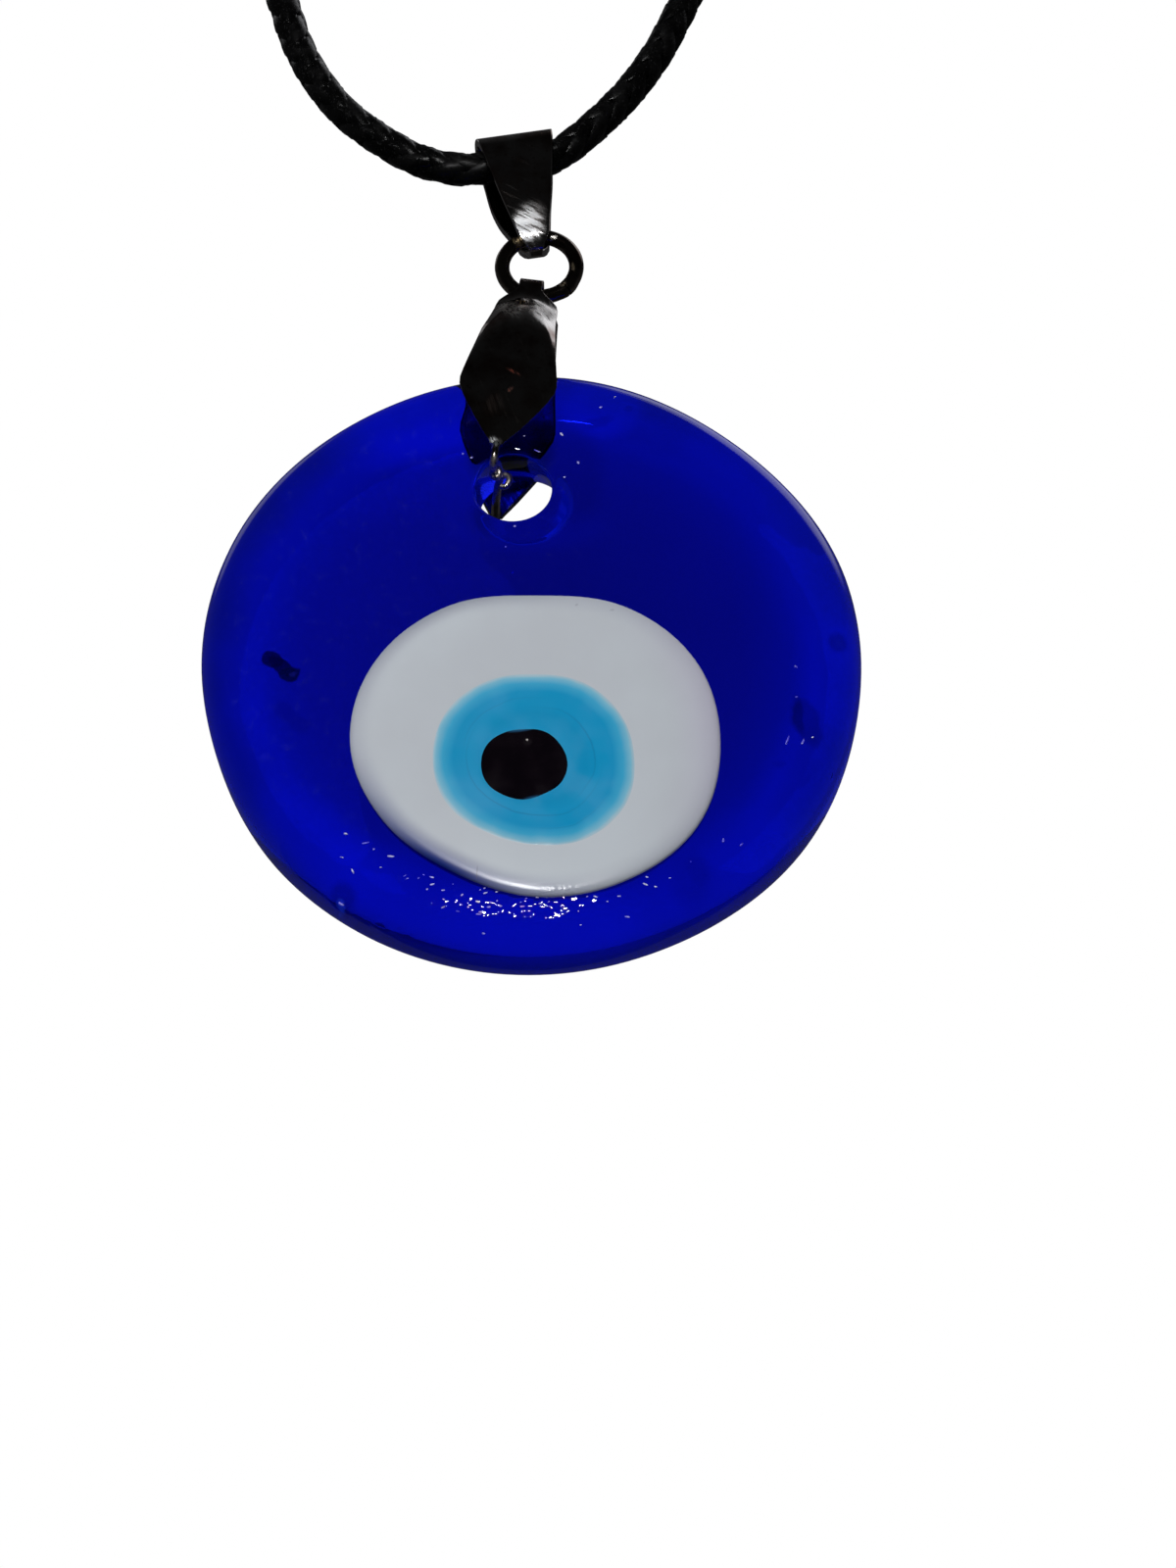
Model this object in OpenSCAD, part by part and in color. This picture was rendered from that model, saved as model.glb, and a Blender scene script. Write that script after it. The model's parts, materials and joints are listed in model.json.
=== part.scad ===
// Round glass eye pendant with a folded leaf bail, a jump ring and a teardrop bail on a braided cord.
// Millimetres. +X right, +Z up, the eye faces -Y. The origin is the underside of the clasp at the nape.

/* [Cord and clasp] */
// cord diameter
cord_d = 2.6; // [2.2:0.1:3.2]
// nape down to the cord's middle inside the upper bail
loop_drop = 146.8; // [120:0.2:170]
// widest reach of the loop to each side
loop_half_w = 63; // [50:0.5:75]
// clasp barrel length
clasp_len = 24; // [16:0.5:30]
// clasp barrel diameter
clasp_d = 5.2; // [4:0.1:7]

/* [Upper bail] */
// cord middle to ring wire middle
bail_len = 7.1; // [6:0.1:10]
// room between the cord and the top of the strip
cord_room = 0.3; // [0.2:0.02:0.5]
// strip width over the cord
bail_top_w = 5.8; // [4:0.1:8]
// strip width at the pointed end
bail_tip_w = 1.7; // [1.2:0.1:2.2]
// strip thickness
bail_t = 0.55; // [0.4:0.05:0.8]
// lean to the left at the top, square to the cord
bail_lean = 10; // [0:0.5:16]

/* [Jump ring] */
// ring outside diameter
ring_od = 6.6; // [6:0.1:9]
// ring wire diameter
ring_wire = 1.1; // [0.8:0.05:1.3]
// width of the butt seam
ring_seam = 0.14; // [0.1:0.02:0.3]

/* [Pinch bail] */
// ring wire middle to the middle of the prongs
leaf_len = 17; // [14:0.1:20]
// widest part of a leaf
leaf_w = 6.8; // [5:0.1:9]
// sheet thickness
leaf_t = 0.5; // [0.4:0.05:0.7]
// rise of the outer face at its middle
leaf_rise = 0.34; // [0.1:0.02:0.5]
// prong diameter
prong_d = 1.0; // [0.8:0.05:1.3]

/* [Glass disc] */
// disc diameter
disc_d = 45; // [38:0.5:54]
// disc thickness
disc_t = 6; // [5:0.1:8]
// rounding of the rim in front
rim_round = 2.6; // [1:0.1:3.4]
// rounding of the rim behind
back_round = 1.6; // [0.5:0.1:2]
// narrow part of the hanging hole
hole_d = 5.3; // [4.6:0.1:7]
// hanging hole at the back
hole_back_d = 8.2; // [7.4:0.1:10]
// hole middle above the disc middle
hole_up = 12.1; // [11:0.1:14]
// hole middle to the left of the disc middle
hole_left = 1.33; // [0:0.01:3]
// rounding of the hole's mouth
mouth_round = 0.5; // [0.3:0.05:0.7]

/* [Eye dots] */
// white dot radius
white_r = 12.2; // [9:0.1:13]
// light blue dot radius
light_r = 6.7; // [5:0.1:8]
// pupil radius
pupil_r = 2.85; // [2:0.05:4]
// depth of each dot in the one below it
dot_depth = 0.8; // [0.5:0.05:1.2]
// rise of the white dot above the glass
dot_rise = 0.3; // [0.1:0.05:0.5]
// white dot below the disc's middle
white_down = 7.9; // [4:0.1:9]
// white dot right of the disc's middle
white_right = 0.4; // [-2:0.05:2]
// light blue dot below the white dot's middle
light_down = 1.2; // [0:0.05:2]
// pupil below the light blue dot's middle
pupil_down = 0.5; // [0:0.05:2]
// pupil left of the light blue dot's middle
pupil_left = 0.7; // [-1:0.05:2]

/* [Hidden] */

run_gap = 0.06;
seat_gap = 0.02;
leaf_gap = 0.25;

// radii that follow from the sizes above
ring_mid = (ring_od - ring_wire) / 2;
clasp_r = clasp_d / 2;
disc_r = disc_d / 2;
wire_r = ring_wire / 2;
prong_r = prong_d / 2;
fold_w = bail_tip_w;
fold_half = fold_w / 2;
// how far the round wire bows inside a strip of the tip's width
tip_bow = ring_mid - sqrt(ring_mid * ring_mid - 1.25 * fold_half * fold_half);
wire_room = wire_r + tip_bow + run_gap;

// the chain from the cord down to the disc, each offset in X and Z
// the ring carries the bail left of its top and the leaf left of its bottom
ring_turn_top = 10;
ring_turn_low = 13;
hang_turn = 42;
hang_r = hole_d / 2 - prong_r - run_gap;
bail_dx = bail_len * sin(bail_lean);
bail_dz = -bail_len * cos(bail_lean);
ring_dx = ring_mid * sin(ring_turn_top);
ring_dz = -ring_mid * cos(ring_turn_top);
fold_dx = -ring_mid * sin(ring_turn_low);
fold_dz = -ring_mid * cos(ring_turn_low);
hole_dx = hang_r * sin(hang_turn);
hole_dz = -hang_r * cos(hang_turn);
leaf_lean = 8;
leaf_dx = -leaf_len * sin(leaf_lean);
leaf_dz = -leaf_len * cos(leaf_lean);

// places in the frame of the whole
cord_x = -(bail_dx + ring_dx + fold_dx + leaf_dx + hole_dx + hole_left);
cord_z = -loop_drop;
tip_x = cord_x + bail_dx;
tip_z = cord_z + bail_dz;
ring_x = tip_x + ring_dx;
ring_z = tip_z + ring_dz;
fold_x = ring_x + fold_dx;
fold_z = ring_z + fold_dz;
prong_x = fold_x + leaf_dx;
prong_z = fold_z + leaf_dz;
hole_x = prong_x + hole_dx;
hole_z = prong_z + hole_dz;
disc_x = hole_x + hole_left;
disc_z = hole_z - hole_up;
front = -disc_t / 2;

// smooth curve through four points
function curve(a, b, c, d, t) =
    0.5 * (2 * b + (c - a) * t + (2 * a - 5 * b + 4 * c - d) * t * t
           + (3 * b - a - 3 * c + d) * t * t * t);
function at(l, i) = l[min(max(i, 0), len(l) - 1)];
function through(l, i, t) = curve(at(l, i - 1), at(l, i), at(l, i + 1), at(l, i + 2), t);
function ease(t) = t * t * (3 - 2 * t);
function mix(a, b, t) = a + (b - a) * t;
function unit(v) = v / norm(v);

// side faces of a loft, rings listed towards the end, counted counter-clockwise seen from the end
function sides(n, m, wrap = false) = [
    for (i = [0:m - (wrap ? 1 : 2)]) for (j = [0:n - 1])
        [i * n + j, ((i + 1) % m) * n + j, ((i + 1) % m) * n + (j + 1) % n, i * n + (j + 1) % n]
];
function start_cap(n) = [[for (j = [0:n - 1]) j]];
function end_cap(n, m) = [[for (j = [n - 1:-1:0]) (m - 1) * n + j]];

// route of the cord, left end of the clasp down to the bail and up to the right end
loop_h = loop_drop + clasp_r;
high_left = [
    [-0.55, 0.99], [-0.75, 0.97], [-0.89, 0.935], [-0.975, 0.885], [-1.0, 0.82], [-0.965, 0.75],
    [-0.895, 0.67], [-0.8, 0.58], [-0.685, 0.48], [-0.57, 0.38], [-0.465, 0.28], [-0.385, 0.19]
];
high_right = [
    [0.26, 0.19], [0.36, 0.28], [0.483, 0.38], [0.613, 0.48], [0.745, 0.58], [0.855, 0.67],
    [0.937, 0.75], [0.99, 0.82], [0.98, 0.885], [0.895, 0.935], [0.755, 0.97], [0.55, 0.99]
];
// the part in sight, measured from the cord's middle inside the bail
low_left = [
    [-18.7, 16.2], [-17.46, 12.16], [-15.63, 8.22], [-12.83, 4.35], [-8.33, 0.73],
    [-4.9, -0.52], [-2.4, -0.44]
];
low_right = [[2.4, 0.46], [4.77, 2.44], [8.01, 6.28], [10.39, 10.18], [12.16, 14.16]];
route = concat(
    [[-clasp_len / 2, clasp_r]],
    [for (p = high_left) [p[0] * loop_half_w, cord_z + p[1] * loop_h]],
    [for (p = low_left) [cord_x + p[0], cord_z + p[1]]],
    [[cord_x, cord_z]],
    [for (p = low_right) [cord_x + p[0], cord_z + p[1]]],
    [for (p = high_right) [p[0] * loop_half_w, cord_z + p[1] * loop_h]],
    [[clasp_len / 2, clasp_r]]
);
route_n = len(route);
line = concat(
    [for (i = [0:route_n - 2]) for (k = [0, 0.5]) through(route, i, k)],
    [route[route_n - 1]]
);
line_n = len(line);
function heading(i) =
    (i == 0 || i == line_n - 1) ? [-1, 0] : unit(line[i + 1] - line[i - 1]);

module cord() {
    n = 8;
    pts = [
        for (i = [0:line_n - 1]) for (j = [0:n - 1])
            let (p = line[i], h = heading(i), a = 360 * j / n, r = cord_d / 2)
                [p[0] - h[1] * r * cos(a), -r * sin(a), p[1] + h[0] * r * cos(a)]
    ];
    color("black")
        polyhedron(pts, concat(sides(n, line_n), start_cap(n), end_cap(n, line_n)));
}

// plain barrel along X with rounded shoulders
module clasp() {
    shoulder = clasp_d * 0.16;
    color("silver")
        translate([0, 0, clasp_r])
            rotate([0, 90, 0])
                rotate_extrude($fn = 64)
                    union() {
                        translate([0, -clasp_len / 2])
                            square([clasp_r - shoulder, clasp_len]);
                        translate([0, -clasp_len / 2 + shoulder])
                            square([clasp_r, clasp_len - 2 * shoulder]);
                        for (s = [-1, 1])
                            translate([clasp_r - shoulder, s * (clasp_len / 2 - shoulder)])
                                circle(r = shoulder, $fn = 32);
                    }
}

// teardrop band: middle line in [down, y], down counted from the cord's middle
side_room = 0.38;
tip_room = 0.3;
bail_top = cord_d / 2 + cord_room + bail_t / 2;
bail_side = cord_d / 2 + side_room + bail_t / 2;
tip_side = wire_room + bail_t / 2;
tip_drop = wire_room + tip_room + bail_t / 2;
bail_half = concat(
    [for (a = [0:18:72]) [-bail_top * cos(a), -bail_side * sin(a)]],
    [for (k = [0:8]) [bail_len * k / 8, -mix(bail_side, tip_side, ease(k / 8))]],
    [for (a = [30, 55, 78]) [bail_len + tip_drop * sin(a), -tip_side * cos(a)]],
    [[bail_len + tip_drop, 0]]
);
bail_hn = len(bail_half);
bail_line = concat(bail_half, [for (i = [bail_hn - 2:-1:1]) [bail_half[i][0], -bail_half[i][1]]]);
bail_n = len(bail_line);
function bail_w(u) =
    let (t = min(max((u + bail_top) / (bail_len + bail_top), 0), 1))
        mix(bail_top_w, bail_tip_w * 1.12, t * (0.82 + 0.18 * t))
        - max(u - bail_len, 0) * 0.16 * bail_tip_w / tip_drop;

module upper_bail() {
    n = 8;
    e = bail_t * 0.2;
    pts = [
        for (i = [0:bail_n - 1])
            let (
                p = bail_line[i],
                q = unit(bail_line[(i + 1) % bail_n] - bail_line[(i + bail_n - 1) % bail_n]),
                out = [-q[1], q[0]] * (-1),
                w = bail_w(p[0]) / 2,
                h = bail_t / 2
            )
            for (s = [[w, -h + e], [w, h - e], [w - e, h], [-w + e, h], [-w, h - e], [-w, -h + e],
                      [-w + e, -h], [w - e, -h]])
                [s[0], p[1] + out[1] * s[1], -(p[0] + out[0] * s[1])]
    ];
    color("dimgray")
        translate([cord_x, 0, cord_z])
            rotate([0, -bail_lean, 0])
                polyhedron(pts, sides(n, bail_n, true));
}

// round wire ring with a butt seam at the lower right
module jump_ring() {
    color("dimgray")
        translate([ring_x, 0, ring_z])
            rotate([90, 0, 0])
                difference() {
                    rotate_extrude($fn = 72)
                        translate([ring_mid, 0])
                            circle(r = wire_r, $fn = 32);
                    rotate([0, 0, -58])
                        translate([ring_mid, 0, 0])
                            cube([ring_wire * 1.6, ring_seam, ring_wire * 1.6], center = true);
                }
}

// folded leaf: [down share, y share, half width share, blend to prong, blend to neck]
leaf_plane = disc_t / 2 + leaf_gap + leaf_t / 2;
fold_r = wire_room + fold_half * tan(ring_turn_low - leaf_lean) + leaf_t / 2;
neck = [
    [0.045, 0.00, 0.34], [0.075, 0.05, 0.46], [0.105, 0.15, 0.60], [0.14, 0.33, 0.645],
    [0.19, 0.58, 0.67], [0.25, 0.80, 0.70], [0.33, 0.95, 0.755], [0.42, 1.0, 0.82],
    [0.50, 1.0, 0.91], [0.565, 1.0, 0.97], [0.605, 1.0, 1.0], [0.64, 1.0, 0.985],
    [0.69, 1.0, 0.86], [0.745, 1.0, 0.69], [0.80, 1.0, 0.51], [0.85, 1.0, 0.34],
    [0.885, 1.0, 0.22], [0.915, 1.0, 0.16]
];
// prong and its bend, [down from the prong's middle, y from the leaf plane inwards]
bend = [[-0.95, 0.0], [-0.55, 0.10], [-0.2, 0.37], [-0.02, 0.78], [0, 1.2]];
prong_end = prong_d * 0.3;
leaf_cut = leaf_t * 0.2;
flat_rise = leaf_rise * 0.08;
prong_cut = prong_r * 0.586;
// rows are [down, y, half width, half thickness, rise, corner cut]
leaf_half = concat(
    [
        for (a = [0, 22, 45, 68, 90])
            [-fold_r * cos(a), -fold_r * sin(a), fold_half, leaf_t / 2, flat_rise, leaf_cut]
    ],
    [
        for (r = neck)
            [
                r[0] * leaf_len, -mix(fold_r, leaf_plane, r[1]), max(r[2] * leaf_w / 2, prong_r),
                leaf_t / 2, leaf_rise * min(max((r[0] - 0.05) * 6, 0.1), 1) * min(r[2] * 1.5, 1),
                leaf_cut
            ]
    ],
    [
        for (i = [0:len(bend) - 1])
            let (b = bend[i], t = (i + 1) / len(bend))
                [
                    leaf_len + b[0] * prong_d, -(leaf_plane - b[1] * prong_d), prong_r,
                    mix(leaf_t / 2, prong_r, t), flat_rise, mix(leaf_cut, prong_cut, t)
                ]
    ],
    [[leaf_len, -prong_end, prong_r, prong_r, 0, prong_cut]]
);
leaf_hn = len(leaf_half);
leaf_line = concat(
    [for (i = [leaf_hn - 1:-1:1]) leaf_half[i]],
    [for (i = [0:leaf_hn - 1]) [leaf_half[i][0], -leaf_half[i][1], leaf_half[i][2], leaf_half[i][3],
                                leaf_half[i][4], leaf_half[i][5]]]
);
leaf_n = len(leaf_line);
function leaf_dir(i) =
    let (a = at(leaf_line, i - 1), b = at(leaf_line, i + 1)) unit([b[0] - a[0], b[1] - a[1]]);

module pinch_bail() {
    n = 11;
    pts = [
        for (i = [0:leaf_n - 1])
            let (
                p = leaf_line[i], q = leaf_dir(i), out = [-q[1], q[0]],
                w = p[2], h = p[3], d = p[4], c = p[5]
            )
            for (s = [[w, -h + c], [w, h - c], [w - c, h], [(w - c) / 2, h + 0.75 * d], [0, h + d],
                      [(c - w) / 2, h + 0.75 * d], [-w + c, h], [-w, h - c], [-w, -h + c],
                      [-w + c, -h], [w - c, -h]])
                [-s[0], p[1] + out[1] * s[1], -(p[0] + out[0] * s[1])]
    ];
    color("dimgray")
        translate([fold_x, 0, fold_z])
            rotate([0, leaf_lean, 0])
                polyhedron(pts, concat(sides(n, leaf_n), start_cap(n), end_cap(n, leaf_n)));
}

// outlines of the dots, radius shares every 30 degrees from +X
white_shares = [1.0, 1.01, 0.975, 0.915, 0.98, 1.015, 1.0, 0.93, 0.875, 0.905, 0.945, 1.0];
light_shares = [0.98, 0.97, 0.96, 0.93, 0.98, 1.02, 1.01, 1.0, 0.94, 0.95, 1.02, 1.03];
pupil_shares = [1.0, 0.97, 0.96, 0.9, 0.94, 1.0, 1.0, 0.99, 0.93, 0.92, 0.9, 0.98];
dot_n = 48;
function share(l, k) = let (i = floor(k / 4), t = (k % 4) / 4, m = len(l))
    curve(l[(i + m - 1) % m], l[i % m], l[(i + 1) % m], l[(i + 2) % m], t);
function outline(l, r, grow = 0) = [
    for (k = [0:dot_n - 1]) (r * share(l, k) + grow) * [cos(360 * k / dot_n), sin(360 * k / dot_n)]
];
white_at = [white_right, -white_down];
light_at = white_at - [0, light_down];
pupil_at = light_at - [pupil_left, pupil_down];
light_rise = dot_rise * 1.33;
pupil_rise = dot_rise * 1.6;
light_depth = dot_depth * 0.6;
pupil_depth = dot_depth * 0.4;

// lens seated in the face: a straight wall below the face and a low dome above it
module dot(l, r, spot, depth, base, rise) {
    levels = [
        [depth, 1], [-base, 1], [-base - (rise - base) * 0.55, 0.985],
        [-base - (rise - base) * 0.85, 0.95], [-rise, 0.87]
    ];
    o = outline(l, r);
    pts = [
        for (v = levels) for (p = o)
            [disc_x + spot[0] + p[0] * v[1], front + v[0], disc_z + spot[1] + p[1] * v[1]]
    ];
    polyhedron(pts, concat(sides(dot_n, len(levels)), start_cap(dot_n), end_cap(dot_n, len(levels))));
}
// the seat it lies in, cut from its floor out past the front face
module seat(l, r, spot, depth) {
    translate([disc_x + spot[0], front + depth + seat_gap, disc_z + spot[1]])
        rotate([90, 0, 0])
            linear_extrude(height = depth + seat_gap + disc_t / 2)
                polygon(outline(l, r, seat_gap));
}

// hole along Y: rounded mouth in front, straight bore, cone to the back with a rounded end
module hanging_hole() {
    bore = hole_d / 2;
    back = hole_back_d / 2;
    bore_end = -front - disc_t * 0.62;
    translate([hole_x, 0, hole_z])
        rotate([-90, 0, 0])
            rotate_extrude($fn = 64)
                difference() {
                    polygon([
                        [0, -disc_t], [bore + mouth_round, -disc_t],
                        [bore + mouth_round, front + mouth_round], [bore, front + mouth_round],
                        [bore, bore_end], [back, -front], [back, disc_t], [0, disc_t]
                    ]);
                    translate([bore + mouth_round, front + mouth_round])
                        circle(r = mouth_round, $fn = 32);
                }
}

module glass_disc() {
    color("mediumblue")
        difference() {
            translate([disc_x, 0, disc_z])
                rotate([-90, 0, 0])
                    rotate_extrude($fn = 128)
                        union() {
                            translate([0, front])
                                square([disc_r - rim_round, disc_t]);
                            translate([0, front + rim_round])
                                square([disc_r, disc_t - rim_round - back_round]);
                            translate([0, front + rim_round])
                                square([disc_r - back_round, disc_t - rim_round]);
                            translate([disc_r - rim_round, front + rim_round])
                                circle(r = rim_round, $fn = 64);
                            translate([disc_r - back_round, -front - back_round])
                                circle(r = back_round, $fn = 64);
                        }
            hanging_hole();
            seat(white_shares, white_r, white_at, dot_depth);
        }
}

module white_dot() {
    color("gainsboro")
        difference() {
            dot(white_shares, white_r, white_at, dot_depth, 0, dot_rise);
            seat(light_shares, light_r, light_at, light_depth - dot_rise);
        }
}

module light_blue_dot() {
    color("steelblue")
        difference() {
            dot(light_shares, light_r, light_at, light_depth - dot_rise, dot_rise, light_rise);
            seat(pupil_shares, pupil_r, pupil_at, pupil_depth - light_rise);
        }
}

module pupil() {
    color("black")
        dot(pupil_shares, pupil_r, pupil_at, pupil_depth - light_rise, light_rise, pupil_rise);
}

cord();
clasp();
upper_bail();
jump_ring();
pinch_bail();
glass_disc();
white_dot();
light_blue_dot();
pupil();
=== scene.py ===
"""Glass eye pendant on a braided cord: camera, modelled pieces, finishes and soft light."""

import json
import random
from math import asin, atan2, copysign, cos, degrees, hypot, pi, radians, sin

import bmesh
import bpy
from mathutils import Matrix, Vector


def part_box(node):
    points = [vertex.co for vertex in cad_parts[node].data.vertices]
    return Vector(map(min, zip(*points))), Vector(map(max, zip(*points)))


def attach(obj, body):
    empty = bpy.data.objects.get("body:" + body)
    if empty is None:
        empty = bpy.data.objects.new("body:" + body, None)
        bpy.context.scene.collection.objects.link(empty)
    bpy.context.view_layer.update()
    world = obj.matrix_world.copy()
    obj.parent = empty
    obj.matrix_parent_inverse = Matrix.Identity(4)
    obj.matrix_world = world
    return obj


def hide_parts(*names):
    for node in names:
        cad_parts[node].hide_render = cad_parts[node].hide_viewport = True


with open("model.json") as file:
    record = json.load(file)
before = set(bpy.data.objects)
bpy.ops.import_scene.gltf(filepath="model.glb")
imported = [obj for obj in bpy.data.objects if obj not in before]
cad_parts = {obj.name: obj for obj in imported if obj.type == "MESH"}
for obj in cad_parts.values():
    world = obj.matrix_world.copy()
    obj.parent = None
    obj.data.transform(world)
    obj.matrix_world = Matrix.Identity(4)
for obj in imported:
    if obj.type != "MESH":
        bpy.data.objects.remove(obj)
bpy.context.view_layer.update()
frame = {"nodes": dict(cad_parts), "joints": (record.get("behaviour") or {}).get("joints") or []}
joints = {j["name"]: j for j in frame["joints"]}
nodes = frame["nodes"]

MM = 0.001
# turns a flat circle to face the front
UPRIGHT = radians(90)


def mm(x, y, z):
    return Vector((x, y, z)) * MM


# Places that the pieces hang from, in metres
CORD_MID = Vector(joints["bail_swing"]["pos_m"])
BAIL_TIP = Vector(joints["ring_swing"]["pos_m"])
FOLD = Vector(joints["leaf_swing"]["pos_m"])
BAIL_LEAN = radians(-10)
LEAF_LEAN = radians(8)

ring_low, ring_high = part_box("jump_ring")
RING = (ring_low + ring_high) / 2
disc_low, disc_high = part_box("glass_disc")
DISC = (disc_low + disc_high) / 2
DISC_R = 22.5 * MM
HOLE = DISC + mm(-1.33, 0, 12.1)
HOLE_R = 2.65 * MM

# The glass in mm: y of its faces, where the front rounds off, and the radius and y of that round
FRONT_Y = -3.0
BACK_Y = 3.0
ROUND_FROM = 19.9
ROUND_R = 2.6
ROUND_Y = -0.4


def link(thing):
    bpy.context.scene.collection.objects.link(thing)
    return thing


# Camera at the photograph's angle, below the disc and looking up at it
lens = bpy.data.cameras.new("photo_camera")
camera = link(bpy.data.objects.new("photo_camera", lens))
camera.location = (0.003867, -0.149580, -0.272082)
camera.rotation_euler = (radians(116), 0, 0)
lens.sensor_width = 36
lens.lens = 57.375
lens.clip_start = 0.01
lens.clip_end = 20
bpy.context.scene.camera = camera


# Helpers for modelling by hand
def let_go():
    """Leaves edit mode with nothing selected."""
    if bpy.context.object and bpy.context.object.mode != "OBJECT":
        bpy.ops.object.mode_set(mode="OBJECT")
    bpy.ops.object.select_all(action="DESELECT")


def take(piece):
    let_go()
    bpy.context.view_layer.objects.active = piece
    piece.select_set(True)


def named(name):
    piece = bpy.context.object
    piece.name = piece.data.name = name
    return piece


def edit(piece):
    take(piece)
    bpy.ops.object.mode_set(mode="EDIT")
    bpy.ops.mesh.select_mode(type="VERT")


def pick(piece, test):
    """Selects the vertices that pass the test, in edit mode."""
    bm = bmesh.from_edit_mesh(piece.data)
    for part in (*bm.faces, *bm.edges):
        part.select_set(False)
    for v in bm.verts:
        v.select_set(test(v.co))
    bm.select_flush_mode()
    bmesh.update_edit_mesh(piece.data)


def edit_all(piece):
    edit(piece)
    bpy.ops.mesh.select_all(action="SELECT")


def extrude(move):
    bpy.ops.mesh.extrude_region_move(TRANSFORM_OT_translate={"value": move})


def finish_edit(piece, smooth=30):
    """Merges doubles, turns the faces outwards and shades the piece."""
    edit_all(piece)
    bpy.ops.mesh.remove_doubles(threshold=1e-6)
    bpy.ops.mesh.normals_make_consistent(inside=False)
    take(piece)
    bpy.ops.object.shade_smooth_by_angle(angle=radians(smooth))


def modifier(piece, kind, **values):
    """Adds a modifier with its values and applies it."""
    take(piece)
    m = piece.modifiers.new(kind.lower(), kind)
    for key, value in values.items():
        setattr(m, key, value)
    bpy.ops.object.modifier_apply(modifier=m.name)


def apply_place(piece):
    take(piece)
    bpy.ops.object.transform_apply(location=True, rotation=True, scale=True)


def settle(piece, place=(0, 0, 0), lean=0):
    """Applies a piece's own place to its mesh, then leans it about Y and moves it to its place."""
    apply_place(piece)
    piece.rotation_euler = (0, lean, 0)
    piece.location = place
    apply_place(piece)


def bevel(piece, width, angle, segments=3):
    modifier(
        piece, "BEVEL", width=width * MM, segments=segments, limit_method="ANGLE",
        angle_limit=radians(angle),
    )


def mirror(piece):
    """Adds the other half, behind the XZ plane."""
    modifier(piece, "MIRROR", use_axis=(False, True, False), use_clip=True, merge_threshold=1e-5)


def thicken(piece, thick):
    modifier(piece, "SOLIDIFY", thickness=thick * MM, offset=0, use_even_offset=True)


def join(target, *others):
    take(target)
    for o in others:
        o.select_set(True)
    bpy.ops.object.join()
    return target


def push(piece, point, move, reach):
    """Moves the vertices nearest to a point, and the surface around them softly with them."""
    grip = 0.3 * MM
    edit(piece)
    near = min((v.co - point).length for v in piece.data.vertices)
    pick(piece, lambda co: (co - point).length < near + grip)
    bpy.ops.transform.translate(
        value=move, use_proportional_edit=True, proportional_edit_falloff="SMOOTH",
        proportional_size=reach,
    )
    let_go()


def mix(a, b, t):
    return a + (b - a) * t


def clamp(value, low=0, high=1):
    return min(max(value, low), high)


def smooth_between(a, b, c, d, t):
    """The smooth curve t of the way from b to c, with a before them and d after them."""
    return 0.5 * (
        2 * b + (c - a) * t + (2 * a - 5 * b + 4 * c - d) * t * t
        + (3 * b - a - 3 * c + d) * t * t * t
    )


def round_angles(count):
    return [2 * pi * j / count for j in range(count)]


# Cord: the route of the part's source, left end of the clasp to the bail and up to the right end
CORD_D = 2.6 * MM
LOOP_DROP = -CORD_MID.z
LOOP_HALF_W = 63 * MM
CLASP_LEN = 24 * MM
CLASP_R = 2.6 * MM
# Out of the picture: x as a share of the half width, z as a share of the way up to the clasp
HIGH_LEFT = [
    (-0.55, 0.99), (-0.75, 0.97), (-0.89, 0.935), (-0.975, 0.885), (-1.0, 0.82), (-0.965, 0.75),
    (-0.895, 0.67), (-0.8, 0.58), (-0.685, 0.48), (-0.57, 0.38), (-0.465, 0.28), (-0.385, 0.19),
]
HIGH_RIGHT = [
    (0.26, 0.19), (0.36, 0.28), (0.483, 0.38), (0.613, 0.48), (0.745, 0.58), (0.855, 0.67),
    (0.937, 0.75), (0.99, 0.82), (0.98, 0.885), (0.895, 0.935), (0.755, 0.97), (0.55, 0.99),
]
# In the picture: x and z in mm from the cord's middle
LOW_LEFT = [
    (-18.7, 16.2), (-17.46, 12.16), (-15.63, 8.22), (-12.83, 4.35), (-8.33, 0.73),
    (-4.9, -0.52), (-2.4, -0.44),
]
LOW_RIGHT = [(2.4, 0.46), (4.77, 2.44), (8.01, 6.28), (10.39, 10.18), (12.16, 14.16)]


def cord_route():
    high = LOOP_DROP + CLASP_R
    spread = lambda rows: [(x * LOOP_HALF_W, CORD_MID.z + z * high) for x, z in rows]
    seen = lambda rows: [(CORD_MID.x + x * MM, CORD_MID.z + z * MM) for x, z in rows]
    left_end, right_end = [(-CLASP_LEN / 2, CLASP_R)], [(CLASP_LEN / 2, CLASP_R)]
    flat = (
        left_end + spread(HIGH_LEFT) + seen(LOW_LEFT) + [(CORD_MID.x, CORD_MID.z)]
        + seen(LOW_RIGHT) + spread(HIGH_RIGHT) + right_end
    )
    return [Vector((x, 0, z)) for x, z in flat]


def through(points, i, t):
    """Smooth curve through the points, t of the way from point i to the next."""
    a, b, c, d = (points[clamp(i + k, 0, len(points) - 1)] for k in (-1, 0, 1, 2))
    return smooth_between(a, b, c, d, t)


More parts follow.
